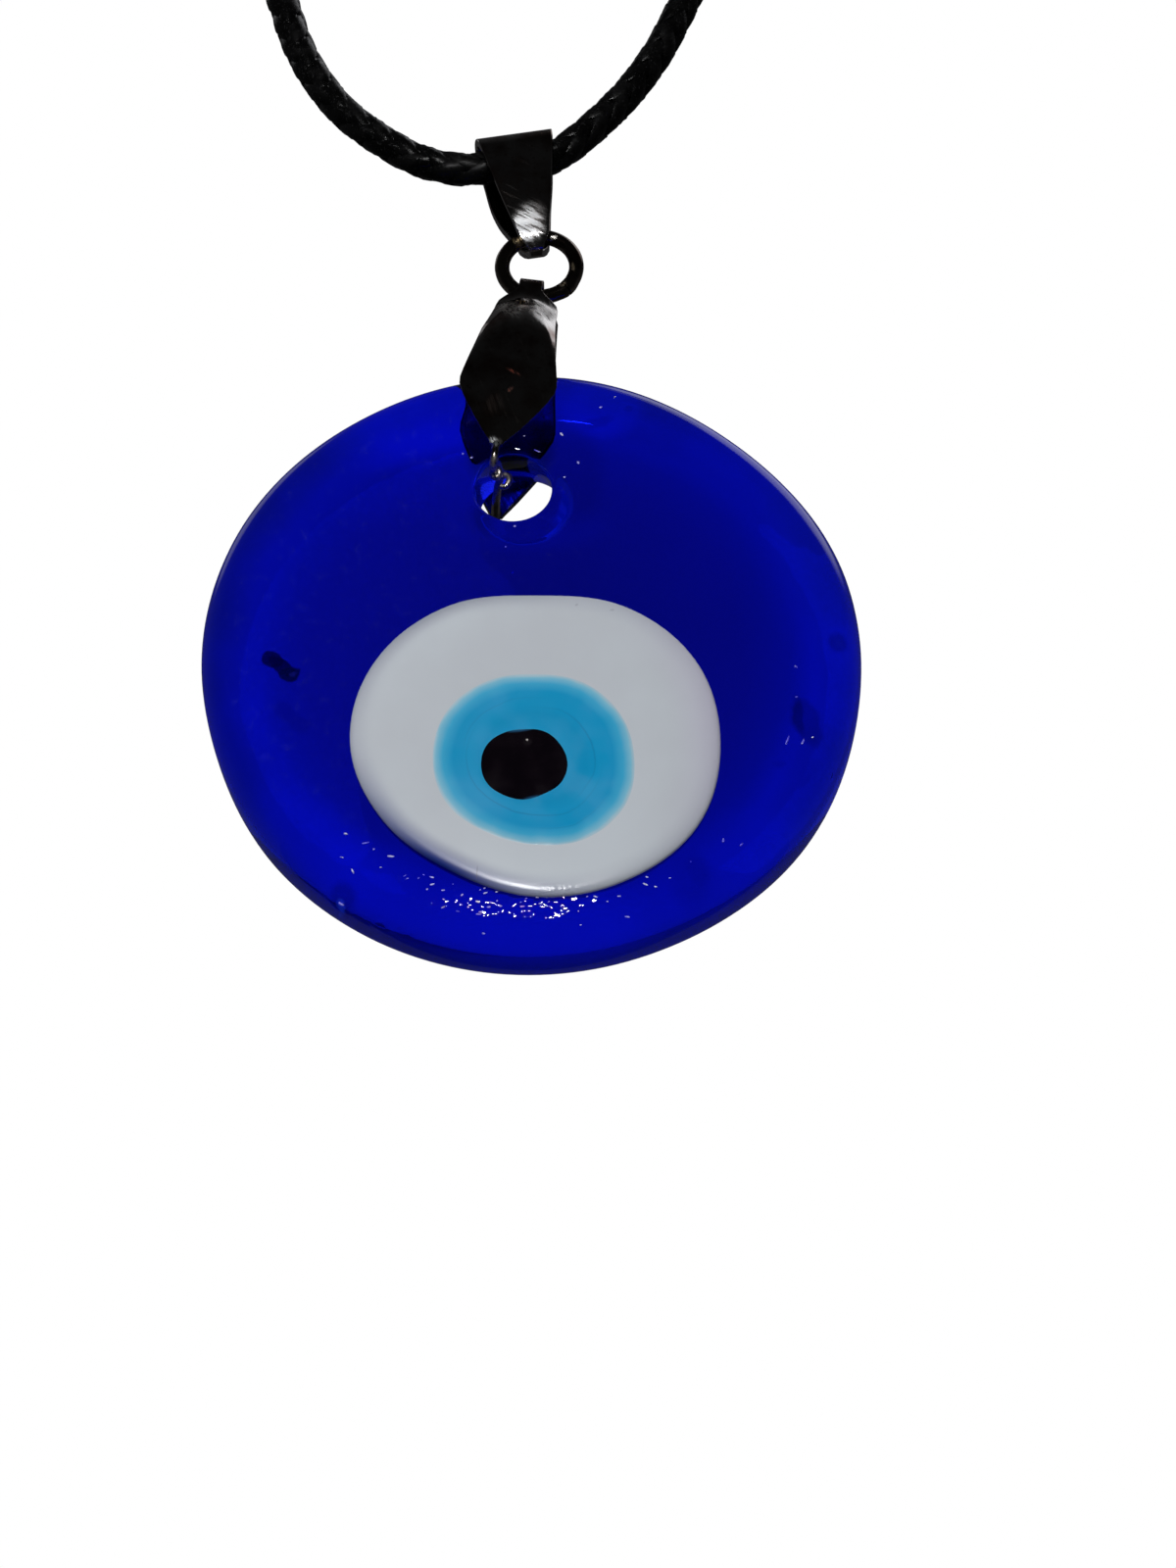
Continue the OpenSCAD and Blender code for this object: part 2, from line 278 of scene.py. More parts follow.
def even_line(points, step, parts=24):
    """The smooth curve as points a step apart, and its length."""
    fine = [through(points, i, k / parts) for i in range(len(points) - 1) for k in range(parts)]
    fine.append(points[-1])
    run = [0.0]
    for a, b in zip(fine, fine[1:]):
        run.append(run[-1] + (b - a).length)
    count = round(run[-1] / step)
    line, at = [], 0
    for k in range(count + 1):
        want = run[-1] * k / count
        while at < len(run) - 2 and run[at + 1] < want:
            at += 1
        t = (want - run[at]) / max(run[at + 1] - run[at], 1e-12)
        line.append(fine[at].lerp(fine[at + 1], clamp(t)))
    return line, run[-1]


cord_line, cord_length = even_line(cord_route(), 0.45 * MM)


def tube(rings):
    """Vertices and faces of a tube through rings of equal count, closed at its ends."""
    n = len(rings[0])
    verts = [p for ring in rings for p in ring]
    faces = []
    for i in range(len(rings) - 1):
        for j in range(n):
            k = (j + 1) % n
            faces.append((i * n + j, i * n + k, (i + 1) * n + k, (i + 1) * n + j))
    faces.append(tuple(reversed(range(n))))
    faces.append(tuple((len(rings) - 1) * n + j for j in range(n)))
    return verts, faces


def braid():
    """Eight flat strands, four each way round, two over and two under, on a thin core."""
    pitch = 9.6 * MM
    mid_r = 0.90 * MM
    weave = 0.10 * MM
    half_thick = 0.30 * MM
    half_wide = 0.60 * MM
    spread_out = 0.12
    core_r = 0.85 * MM
    turn = 2 * pi / pitch
    out = Vector((0, 1, 0))
    step = cord_length / (len(cord_line) - 1)
    headings = [
        (cord_line[min(i + 1, len(cord_line) - 1)] - cord_line[max(i - 1, 0)]).normalized()
        for i in range(len(cord_line))
    ]
    verts, faces = [], []

    def add(rings):
        v, f = tube(rings)
        base = len(verts)
        verts.extend(v)
        faces.extend(tuple(base + k for k in face) for face in f)

    for way in (1, -1):
        for k in range(4):
            rings = []
            for i, p in enumerate(cord_line):
                s = i * step
                a = way * (turn * s) + k * pi / 2
                swing = cos(2 * turn * s - way * pi / 4 + k * pi)
                r = mid_r + way * weave * swing
                side = headings[i].cross(out).normalized()
                radial = side * cos(a) + out * sin(a)
                sideways = -side * sin(a) + out * cos(a)
                lay = (headings[i] + sideways * way * turn * r).normalized()
                across = radial.cross(lay).normalized()
                wide = half_wide * (1 + spread_out * way * swing)
                rings.append([
                    p + radial * (r + half_thick * sin(b)) + across * wide * cos(b)
                    for b in round_angles(8)
                ])
            add(rings)
    # the core is hidden, so every third place along the line is enough
    core = []
    for i, p in enumerate(cord_line):
        if i % 3 and i != len(cord_line) - 1:
            continue
        side = headings[i].cross(out).normalized()
        core.append([
            p + (side * cos(b) + out * sin(b)) * core_r for b in round_angles(10)
        ])
    add(core)
    mesh = bpy.data.meshes.new("braided_cord")
    mesh.from_pydata(verts, [], faces)
    piece = link(bpy.data.objects.new("braided_cord", mesh))
    finish_edit(piece, 60)
    return piece


braided_cord = braid()
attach(braided_cord, "necklace")
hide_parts("cord")


# Sheet metal, in mm: a row of points is extruded from station to station, each (down, y, more)
def start_row(name, halves, station):
    """A row across X with a middle point and a pair of points at each half width."""
    place = (0, station[1] * MM, -station[0] * MM)
    bpy.ops.mesh.primitive_plane_add(size=2 * halves[-1] * MM, location=place)
    piece = named(name)
    edit(piece)
    pick(piece, lambda co: co.y > 0)
    bpy.ops.mesh.delete(type="VERT")
    bpy.ops.mesh.select_all(action="SELECT")
    bpy.ops.mesh.subdivide(number_cuts=2 * len(halves) - 1)
    settle(piece)
    row = sorted(piece.data.vertices, key=lambda v: v.co.x)
    for k, v in enumerate(row):
        j = k - len(halves)
        v.co = (copysign(halves[abs(j) - 1] * MM, j) if j else 0, place[1], place[2])
    edit_all(piece)
    return piece


def next_row(piece, before, after, pairs):
    """Extrudes the selected row to a station, then widens each pair of points and sets it back."""
    extrude((0, (after[1] - before[1]) * MM, -(after[0] - before[0]) * MM))
    bm = bmesh.from_edit_mesh(piece.data)
    row = sorted((v for v in bm.verts if v.select), key=lambda v: v.co.x)
    half = len(row) // 2
    for j, (widen, back) in enumerate(pairs):
        pair = (row[half - 1 - j], row[half + 1 + j])
        for v in bm.verts:
            v.select_set(v in pair)
        bmesh.update_edit_mesh(piece.data)
        if abs(widen - 1) > 1e-6:
            bpy.ops.transform.resize(value=(widen, 1, 1), center_override=(0, 0, 0))
        if abs(back) > 1e-6:
            bpy.ops.transform.translate(value=(0, back * MM, 0))
    for v in row:
        v.select_set(True)
    bm.select_flush_mode()
    bmesh.update_edit_mesh(piece.data)


# Upper bail: a band folded over the cord, wide at the top and pointed at the ring
def make_upper_bail():
    thick, room_over, room_beside, wire_room, room_under = 0.55, 0.3, 0.38, 0.779, 0.3
    top_width, tip_width, bow, rounding = 5.95, 2.45, 0.18, 0.42
    steps, closing = 12, 1.9
    cord_r = CORD_D / MM / 2
    length = (BAIL_TIP - CORD_MID).length / MM
    top = cord_r + room_over + thick / 2
    side = cord_r + room_beside + thick / 2
    tip_side = wire_room + thick / 2
    tip_drop = wire_room + room_under + thick / 2
    # down and y in mm: over the cord, down the front, round the ring's wire
    path = [(-top * cos(a), -side * sin(a)) for a in map(radians, range(0, 90, 10))]
    path += [
        (length * k / steps, -mix(side, tip_side, (k / steps) ** closing))
        for k in range(steps + 1)
    ]
    path += [
        (length + tip_drop * sin(a), -tip_side * cos(a))
        for a in map(radians, (20, 40, 58, 74, 90))
    ]

    def half_width(down):
        t = clamp((down + top) / (length + top))
        straight = mix(top_width, tip_width, t * (1 - bow + bow * t)) / 2
        return straight - rounding * max(down - length, 0) ** 2

    def crowned(down):
        """Share of the crown: none at the top, all below the cord, none at the ring."""
        return clamp((down + 1) / 3) * clamp((length - down) / 2)

    shares = [0.2, 0.4, 0.6, 0.8, 1.0]
    bulge = [0.0, -0.01, -0.03, -0.06, -0.1]
    width = half_width(path[0][0])
    piece = start_row("teardrop_bail", [s * width for s in shares], path[0])
    for before, after in zip(path, path[1:]):
        new_width = half_width(after[0])
        rise = crowned(after[0]) - crowned(before[0])
        next_row(piece, before, after, [(new_width / width, -b * rise) for b in bulge])
        width = new_width
    mirror(piece)
    finish_edit(piece)
    thicken(piece, thick)
    bevel(piece, 0.09, 50)
    finish_edit(piece, 35)
    # the band is a little dented outwards at the back
    push(piece, mm(-1.2, 2.0, -3.2), mm(-0.35, 0.45, 0), 4.2 * MM)
    settle(piece, CORD_MID, BAIL_LEAN)
    return piece


teardrop_bail = make_upper_bail()
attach(teardrop_bail, "teardrop_bail")
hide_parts("upper_bail")


# Folded leaf: over the ring, down each face of the glass, a prong from each leaf into the hole
def make_leaf():
    thick, length, wide, plane, fold_r = 0.36, 16.6, 6.8, 3.44, 1.043
    fold_width, fold_flat, crown_height = 0.25, 0.66, 0.16
    # down share, depth share, half width share, width of the flat share, set-back of the edge in mm
    stations = [
        (0.018, 0.00, 0.27, 0.60, 0.02), (0.038, 0.02, 0.36, 0.46, 0.10),
        (0.058, 0.05, 0.50, 0.34, 0.30), (0.080, 0.11, 0.615, 0.27, 0.56),
        (0.105, 0.20, 0.655, 0.27, 0.78), (0.140, 0.36, 0.665, 0.33, 0.92),
        (0.190, 0.60, 0.68, 0.47, 0.94), (0.250, 0.81, 0.705, 0.62, 0.82),
        (0.330, 0.95, 0.76, 0.79, 0.40), (0.420, 1.00, 0.83, 0.88, 0.20),
        (0.500, 1.00, 0.91, 0.93, 0.12), (0.565, 1.00, 0.97, 0.95, 0.09),
        (0.605, 1.00, 1.00, 0.955, 0.08), (0.640, 1.00, 0.985, 0.955, 0.07),
        (0.690, 1.00, 0.875, 0.95, 0.07), (0.745, 1.00, 0.715, 0.94, 0.07),
        (0.800, 1.00, 0.545, 0.93, 0.07), (0.850, 1.00, 0.385, 0.90, 0.06),
        (0.885, 1.00, 0.265, 0.86, 0.05), (0.912, 1.00, 0.17, 0.78, 0.03),
        (0.930, 0.98, 0.12, 0.70, 0.02),
    ]
    rows = [
        (-fold_r * cos(a), -fold_r * sin(a), fold_width * wide / 2, fold_flat, 0.0)
        for a in map(radians, range(0, 91, 15))
    ]
    rows += [
        (d * length, -mix(fold_r, plane, y), w * wide / 2, flat, back)
        for d, y, w, flat, back in stations
    ]

    def columns(row):
        half, flat = row[2], row[3]
        return [half * flat * 0.5, half * flat, half * mix(flat, 1, 0.5), half]

    def crown(row):
        """How far the middle stands out: none at the fold and the tip, all where it is wide."""
        return crown_height * clamp(row[0] / 6) * min(row[2] / 2, 1)

    piece = start_row("folded_leaf", columns(rows[0]), rows[0])
    for before, after in zip(rows, rows[1:]):
        back = after[4] - before[4]
        rise = crown(after) - crown(before)
        shifts = (rise * 0.25, rise, rise + back * 0.5, rise + back)
        widths = zip(columns(before), columns(after), shifts)
        next_row(piece, before, after, [(new / old, shift) for old, new, shift in widths])
    thicken(piece, thick)
    mirror(piece)
    finish_edit(piece)
    bevel(piece, 0.1, 62)
    finish_edit(piece, 35)
    # the leaf behind the glass reaches lower, down to its prong, and stands a little off the glass
    behind, under_fold, over_glass = 0.5 * MM, -1.6 * MM, -5 * MM
    longer, off_glass = 1.12, 0.12 * MM
    edit(piece)
    pick(piece, lambda co: co.y > behind and co.z < under_fold)
    bpy.ops.transform.resize(value=(1, 1, longer), center_override=(0, 0, under_fold))
    pick(piece, lambda co: co.y > behind and co.z < over_glass)
    bpy.ops.transform.translate(value=(0, off_glass, 0))
    let_go()
    return piece


def make_prong(name, points, radius):
    """A round wire through points in mm, closed at its ends and thinner towards the last one."""
    first_share, last_share = 1.2, 0.72
    line, _ = even_line([Vector(p) * MM for p in points], 0.12 * MM, 8)
    bpy.ops.curve.primitive_bezier_curve_add()
    piece = named(name)
    curve = piece.data
    curve.splines.clear()
    spline = curve.splines.new("POLY")
    spline.points.add(len(line) - 1)
    for k, (slot, p) in enumerate(zip(spline.points, line)):
        slot.co = (*p, 1)
        slot.radius = mix(first_share, last_share, k / (len(line) - 1))
    curve.dimensions = "3D"
    curve.bevel_depth = radius * MM
    curve.bevel_resolution = 3
    curve.use_fill_caps = True
    take(piece)
    bpy.ops.object.convert(target="MESH")
    piece = named(name)
    finish_edit(piece, 60)
    return piece


# Prongs, in mm: from each leaf's tip into the hole, the front to a loop, the back to an open hook
FRONT_PRONG = [
    (0, -3.35, -15.3), (0, -3.4, -16.0), (0, -3.25, -16.5), (0, -2.85, -16.85),
    (0.02, -2.45, -16.95), (0.2, -2.25, -16.7), (0.42, -2.15, -16.9), (0.34, -2.1, -17.2),
    (0.06, -2.05, -17.25), (-0.12, -2.0, -17.0), (0.02, -1.9, -16.75), (0.3, -1.8, -16.8),
]
BACK_PRONG = [
    (0, 3.35, -16.7), (0, 3.2, -17.05), (0.03, 2.4, -17.15), (0.1, 1.2, -17.15),
    (0.22, -0.2, -17.1), (0.36, -1.1, -16.98), (0.58, -1.6, -16.78), (0.92, -1.75, -16.8),
    (1.12, -1.8, -17.05), (1.12, -1.8, -17.42), (0.92, -1.75, -17.75), (0.62, -1.7, -17.72),
]

folded_leaf = join(
    make_leaf(), make_prong("front_prong", FRONT_PRONG, 0.27),
    make_prong("back_prong", BACK_PRONG, 0.3),
)
settle(folded_leaf, FOLD, LEAF_LEAN)
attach(folded_leaf, "leaf")
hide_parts("pinch_bail")


# Jump ring: round wire spun once round, its two ends nearly meeting at the lower right
def make_ring():
    wire_r, ring_r = 0.55 * MM, 2.75 * MM
    gap, seam_turn = 1.6, 46
    bpy.ops.mesh.primitive_circle_add(
        vertices=24, radius=wire_r, fill_type="NGON", location=(ring_r, 0, 0)
    )
    piece = named("closed_ring")
    settle(piece)
    edit_all(piece)
    bpy.ops.mesh.spin(steps=120, angle=radians(360 - gap), center=(0, 0, 0), axis=(0, 1, 0))
    pick(piece, lambda co: False)
    bpy.ops.mesh.select_non_manifold()
    bpy.ops.mesh.edge_face_add()
    finish_edit(piece)
    bevel(piece, 0.05, 60, segments=2)
    finish_edit(piece, 40)
    # pliers left one end a little proud and the wire there flattened
    push(piece, mm(3.3, 0, 0.1), mm(0.09, 0, 0), 0.9 * MM)
    push(piece, mm(2.9, -0.5, -0.9), mm(0, 0.05, 0), 0.8 * MM)
    push(piece, mm(-3.2, 0, -0.6), mm(0.04, 0, 0), 1.4 * MM)
    settle(piece, RING, radians(seam_turn))
    return piece


closed_ring = make_ring()
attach(closed_ring, "ring")
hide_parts("jump_ring")


# Glass disc: rings of points from the hole's wall over the front, round the rim and back
def make_glass():
    start = HOLE + mm(0, -2.4, 0)
    bpy.ops.mesh.primitive_circle_add(
        vertices=96, radius=HOLE_R, fill_type="NOTHING", rotation=(UPRIGHT, 0, 0)
    )
    piece = named("cobalt_disc")
    settle(piece, start)
    edit_all(piece)
    # share of the way from the hole to the disc's middle, radius in mm, y in mm: the front face
    rings = [(0, 2.72, -2.75), (0, 2.9, -2.93), (0, 3.2, FRONT_Y)]
    shares = (0.06, 0.13, 0.21, 0.3, 0.4, 0.5, 0.6, 0.7, 0.8, 0.9, 1.0)
    rings += [(t, mix(3.2, 19.6, t), FRONT_Y) for t in shares]
    # round to the rim, the rim, and a smaller round to the back
    rings += [
        (1, ROUND_FROM + ROUND_R * sin(a), ROUND_Y - ROUND_R * cos(a))
        for a in map(radians, (12, 26, 40, 54, 68, 80))
    ]
    rings += [(1, 22.5, 0.1), (1, 22.5, 0.9)]
    rings += [
        (1, 20.9 + 1.6 * cos(a), 1.4 + 1.6 * sin(a)) for a in map(radians, (15, 35, 55, 75))
    ]
    shares = (1.0, 0.85, 0.7, 0.55, 0.4, 0.27, 0.16, 0.07)
    rings += [(t, mix(4.9, 20.6, t), BACK_Y) for t in shares]
    # the hole opens up and to the right at the back, its lower and left walls run straight through
    up_right = -1
    rings += [
        (up_right, r, y)
        for r, y in ((3.5, BACK_Y), (3.4, 2.92), (3.28, 2.4), (3.1, 1.2), (2.88, 0.0), (2.72, -1.4))
    ]
    middle, radius = start, HOLE_R
    for t, r, y in rings:
        aside = (r * MM - HOLE_R) if t == up_right else 0
        goal = HOLE.lerp(DISC, max(t, 0)) + Vector((aside, 0, aside))
        goal.y = y * MM
        extrude(goal - middle)
        grow = r * MM / radius
        bpy.ops.transform.resize(value=(grow, 1, grow), center_override=goal)
        middle, radius = goal, r * MM
    pick(piece, lambda co: False)
    bpy.ops.mesh.select_non_manifold()
    bpy.ops.mesh.bridge_edge_loops()
    finish_edit(piece, 180)
    return piece


cobalt_disc = make_glass()
# Hand-made outline: angle from +X, outward push in mm, reach in mm
for angle, out, reach in ((48, -0.45, 14), (-38, 0.3, 13), (150, 0.15, 12), (200, -0.2, 10)):
    outward = Vector((cos(radians(angle)), 0, sin(radians(angle))))
    push(cobalt_disc, DISC + outward * DISC_R, outward * out * MM, reach * MM)
modifier(cobalt_disc, "SUBSURF", levels=1, render_levels=1)
finish_edit(cobalt_disc, 180)
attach(cobalt_disc, "eye")
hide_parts("glass_disc")


# Dots of the eye, in mm: middle x and z, radius, y of the floor and the face, rise of the dome, and
# radius shares every 30 degrees from +X, as in the part's source
WHITE = dict(
    middle=(0.4, -7.9), radius=12.2, floor=-2.2, face=FRONT_Y, rise=0.3,
    shares=(1.0, 1.01, 0.975, 0.915, 0.98, 1.015, 1.0, 0.93, 0.875, 0.905, 0.945, 1.0),
)
LIGHT_BLUE = dict(
    middle=(0.4, -9.1), radius=6.7, floor=-2.82, face=-3.29, rise=0.025,
    shares=(0.98, 0.97, 0.96, 0.93, 0.98, 1.02, 1.01, 1.0, 0.94, 0.95, 1.02, 1.03),
)
PUPIL = dict(
    middle=(-0.3, -9.6), radius=2.85, floor=-3.08, face=-3.312, rise=0.014,
    shares=(1.0, 0.97, 0.96, 0.9, 0.94, 1.0, 1.0, 0.99, 0.93, 0.92, 0.9, 0.98),
)


def share_at(shares, angle):
    """The outline's radius share at an angle in degrees."""
    k = (angle % 360) / 30
    i, t = int(k), k - int(k)
    a, b, c, d = (shares[(i + j) % 12] for j in (-1, 0, 1, 2))
    return smooth_between(a, b, c, d, t)


def make_dot(name, middle, radius, floor, face, rise, shares):
    """A lens: straight wall up to the face, then a low rounded dome, drawn inwards ring by ring.

    Its ring map holds the share of a turn and the share of the way out to the edge.
    """
    middle = DISC + mm(middle[0], 0, middle[1])
    bpy.ops.mesh.primitive_circle_add(
        vertices=120, radius=radius * MM, fill_type="NGON", rotation=(UPRIGHT, 0, 0)
    )
    piece = named(name)
    settle(piece, middle + mm(0, floor, 0))
    for v in piece.data.vertices:
        x, z = v.co.x - middle.x, v.co.z - middle.z
        s = share_at(shares, degrees(atan2(z, x)))
        v.co.x, v.co.z = middle.x + x * s, middle.z + z * s
    edit_all(piece)
    at_y, size = floor, 1.0
    # share of the rise, and mm in from the edge
    dome = ((0.28, 0.03), (0.52, 0.12), (0.72, 0.28), (0.86, 0.5), (0.95, 0.8), (1.0, 1.3))
    levels = [(face, 1.0)]
    levels += [(face - rise * share, 1 - inward / radius) for share, inward in dome]
    flat = levels[-1][1]
    levels += [(face - rise, s * flat) for s in (0.8, 0.6, 0.4, 0.2, 0.05)]
    for y, s in levels:
        extrude((0, (y - at_y) * MM, 0))
        grow = s / size
        bpy.ops.transform.resize(
            value=(grow, 1, grow), center_override=(middle.x, y * MM, middle.z)
        )
        at_y, size = y, s
    finish_edit(piece, 50)
    ring = piece.data.uv_layers.new(name="ring")
    for polygon in piece.data.polygons:
        places = []
        for k in polygon.loop_indices:
            co = piece.data.vertices[piece.data.loops[k].vertex_index].co
            x, z = (co.x - middle.x) / MM, (co.z - middle.z) / MM
            angle = degrees(atan2(z, x))
            edge = radius * share_at(shares, angle)
            places.append((k, angle / 360 % 1, hypot(x, z) / edge))
        last = max(turn for _, turn, _ in places)
        for k, turn, out in places:
            ring.data[k].uv = (turn + (1 if last - turn > 0.5 else 0), out)
    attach(piece, "eye")
    return piece


white_eye = make_dot("white_eye", **WHITE)
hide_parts("white_dot")
blue_eye = make_dot("blue_eye", **LIGHT_BLUE)
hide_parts("light_blue_dot")
black_eye = make_dot("black_eye", **PUPIL)
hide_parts("pupil")


# Small blisters and nicks on the glass, coloured pale as painted glints
def on_face(x, z):
    """The front of the glass at a place in mm from the disc's middle."""
    bend = asin(clamp((hypot(x, z) - ROUND_FROM) / ROUND_R, 0, 0.98))
    return DISC + mm(x, ROUND_Y - ROUND_R * cos(bend), z)


# x, z and size in mm, length share, turn in degrees
BLISTERS = [
    (4.75, 18.6, 0.14, 1.2, 0), (5.75, 19.5, 0.1, 1, 0), (2.01, 16.34, 0.12, 1.9, -55),
    (3.18, 13.98, 0.14, 1.3, -70), (2.23, 12.77, 0.1, 1.2, 0), (-1.18, 8.78, 0.12, 1.2, 10),
    (-1.77, 7.13, 0.1, 1, 0), (-4.88, 14.71, 0.12, 1, 0), (-4.26, 14.38, 0.12, 1.2, 0),
    (16.98, -7.75, 0.1, 5.2, 68), (18.0, -7.85, 0.1, 3.2, 64), (17.7, -4.5, 0.1, 1.3, 0),
    (17.75, -2.2, 0.1, 2.0, -50), (18.65, -7.5, 0.11, 1.2, 0), (19.9, -9.7, 0.12, 3.0, 72),
    (-11.8, -14.5, 0.12, 1.6, -20), (-10.5, -15.15, 0.09, 4.2, 12), (-9.95, -15.6, 0.1, 1, 0),
    (-8.85, -16.1, 0.11, 3.2, -6), (-11.25, -17.1, 0.1, 3.0, -65),
    (-12.05, -18.75, 0.15, 2.0, -35),
    (12.6, -15.0, 0.13, 1.7, 80), (13.75, -15.25, 0.1, 2.2, 40),
    (-2.0, 17.1, 0.13, 1.8, 70), (-0.6, 16.2, 0.09, 1.2, 0), (0.3, 14.95, 0.08, 5.0, -25),
]


def blister(x, z, size, stretch, turn):
    """A flat copy of the form, on the front of the glass."""
    across, deep = 0.62 * size, 0.25 * size
    piece = link(blister_form.copy())
    piece.data = blister_form.data.copy()
    piece.scale = (across * stretch, deep, across)
    piece.rotation_euler = (0, radians(-turn), 0)
    piece.location = on_face(x, z)
    return piece


def make_blisters():
    """The listed blisters, and a band of glitter that fans out below the eye, as pale painted
    glints.
    """
    glitter, fan_middle, fan = 54, -95, 13
    band_r, band, squash = 19.6, 0.75, 0.99
    chance = random.Random(5)
    rows = list(BLISTERS)
    for _ in range(glitter):
        a = radians(chance.gauss(fan_middle, fan))
        r = band_r + abs(chance.gauss(0, band)) * chance.choice((-0.8, 1))
        x, z = WHITE["middle"][0] + r * cos(a), r * sin(a) * squash
        size = chance.uniform(0.04, 0.1)
        rows.append((x, z, size, chance.uniform(1, 3.2), chance.uniform(-35, 35)))
    join(*[blister(*row) for row in rows])
    piece = named("glass_blisters")
    apply_place(piece)
    finish_edit(piece, 180)
    return piece


let_go()
bpy.ops.mesh.primitive_ico_sphere_add(subdivisions=2, radius=MM)
blister_form = named("blister_form")
push(blister_form, mm(0.8, -0.5, 0.2), mm(0.3, 0, 0.12), 1.1 * MM)
push(blister_form, mm(-0.5, -0.8, -0.3), mm(0, -0.12, 0), 0.8 * MM)
glass_blisters = make_blisters()
bpy.data.objects.remove(blister_form)
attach(glass_blisters, "eye")


# Finishes: helpers that place shader nodes, in the tree that the given sockets belong to
def put(socket, value):
    """Links another node's output to a socket, or sets the socket's own value."""
    if isinstance(value, bpy.types.NodeSocket):
        socket.id_data.links.new(value, socket)
    else:
        socket.default_value = value


def feed(node, **sockets):
    """Links or sets a node's sockets, each named with an underscore for a blank."""
    for key, value in sockets.items():
        put(node.inputs[key.replace("_", " ")], value)


def new_material(name, **sockets):
    """A material, its node tree and its shader, with the shader's own values set."""
    m = bpy.data.materials.new(name)
    m.use_nodes = True
    shader = m.node_tree.nodes["Principled BSDF"]
    feed(shader, **sockets)
    return m, m.node_tree, shader


def dress(piece, material):
    piece.data.materials.clear()
    piece.data.materials.append(material)


def tree_of(values):
    """The node tree of the first socket among the values."""
    return next(v.id_data for v in values if isinstance(v, bpy.types.NodeSocket))


def place_node(kind, inputs, settings=None, tree=None):
    """Places a node, in a given tree if nothing is linked to it, and gives its outputs."""
    node = (tree or tree_of(inputs.values())).nodes.new("ShaderNode" + kind)
    for key, value in (settings or {}).items():
        setattr(node, key, value)
    for key, value in inputs.items():
        put(node.inputs[key], value)
    return node.outputs


def maths(operation, *values):
    return place_node("Math", dict(enumerate(values)), {"operation": operation})[0]


def plus(a, b):
    return maths("ADD", a, b)


def minus(a, b):
    return maths("SUBTRACT", a, b)


def times(a, b):
    return maths("MULTIPLY", a, b)


def vectors(operation, *values):
    outputs = place_node("VectorMath", dict(enumerate(values)), {"operation": operation})
    return outputs["Value" if operation == "LENGTH" else "Vector"]


def remap(value, low, high, to_low=0.0, to_high=1.0):
    """Eases a value from one range into another."""
    inputs = {
        "Value": value, "From Min": low, "From Max": high, "To Min": to_low, "To Max": to_high,
    }
    return place_node("MapRange", inputs, {"interpolation_type": "SMOOTHSTEP"})["Result"]


def over(below, above, mask):
    """The colour above laid over the colour below where the mask is."""
    return place_node("Mix", {0: mask, 6: below, 7: above}, {"data_type": "RGBA"})[2]


def noise(at, scale, detail=2.0, output=0):
    """Noise as a value, or as a colour from output 1."""
    return place_node("TexNoise", {"Vector": at, "Scale": scale, "Detail": detail})[output]


def turned_about_y(at, turn):
    settings = {"rotation_type": "Y_AXIS"}
    return place_node("VectorRotate", {"Vector": at, "Angle": turn}, settings)[0]


def ramp(value, *stops):
    """A colour ramp over a value: each stop is a place and a colour from 0 to 255."""
    node = value.id_data.nodes.new("ShaderNodeValToRGB")
    put(node.inputs[0], value)
    elements = node.color_ramp.elements
    for element, (at, tint) in zip(elements, (stops[0], stops[-1])):
        element.position, element.color = at, shade(*tint)
    for at, tint in stops[1:-1]:
        elements.new(at).color = shade(*tint)
    return node.outputs["Color"]


def bump(shader, height, distance, strength):
    inputs = {"Height": height, "Distance": distance, "Strength": strength}
    feed(shader, Normal=place_node("Bump", inputs)[0])


def shade(r, g, b):
    """A colour read from the photograph, 0 to 255, as linear light."""
    shares = [c / 255 for c in (r, g, b)]
    linear = [s / 12.92 if s < 0.04045 else ((s + 0.055) / 1.055) ** 2.4 for s in shares]
    return (*linear, 1)


def new_group(name, inputs, outputs):
    group = bpy.data.node_groups.new(name, "ShaderNodeTree")
    for label, kind, value in inputs:
        socket = group.interface.new_socket(label, in_out="INPUT", socket_type="NodeSocket" + kind)
        socket.default_value = value
    for label in outputs:
        group.interface.new_socket(label, in_out="OUTPUT", socket_type="NodeSocketFloat")
    given = group.nodes.new("NodeGroupInput").outputs
    result = group.nodes.new("NodeGroupOutput").inputs
    return group, given, result


# Soft spot: mask of an oval with a soft edge, such as a bubble, a nick, a stain, a painted
# highlight or painted shade
spot_group, given, result = new_group(
    "soft_spot",
    [
        ("At", "Vector", (0, 0, 0)), ("Middle", "Vector", (0, 0, 0)), ("Turn", "Float", 0.0),
        ("Half Size", "Vector", (1, 1, 1)), ("Softness", "Float", 0.3),
    ],
    ["Mask"],
)
aside = vectors("SUBTRACT", given["At"], given["Middle"])
turned = turned_about_y(aside, given["Turn"])
share = vectors("LENGTH", vectors("DIVIDE", turned, given["Half Size"]))
outer = plus(1.0, given["Softness"])
inner = minus(1.0, given["Softness"])
put(result["Mask"], remap(share, outer, inner))

# Handled finish: broad cloudy patches and fine specks left by handling and casting
handled_group, given, result = new_group(
    "handled_finish",
    [
        ("At", "Vector", (0, 0, 0)), ("Cloud Scale", "Float", 150.0),
        ("Speck Scale", "Float", 2500.0),
    ],
    ["Cloud", "Speck"],
)
cloud = noise(given["At"], given["Cloud Scale"], 4.0)
put(result["Cloud"], remap(cloud, 0.35, 0.68))
speck = noise(given["At"], given["Speck Scale"], 1.0)
put(result["Speck"], remap(speck, 0.62, 0.74))

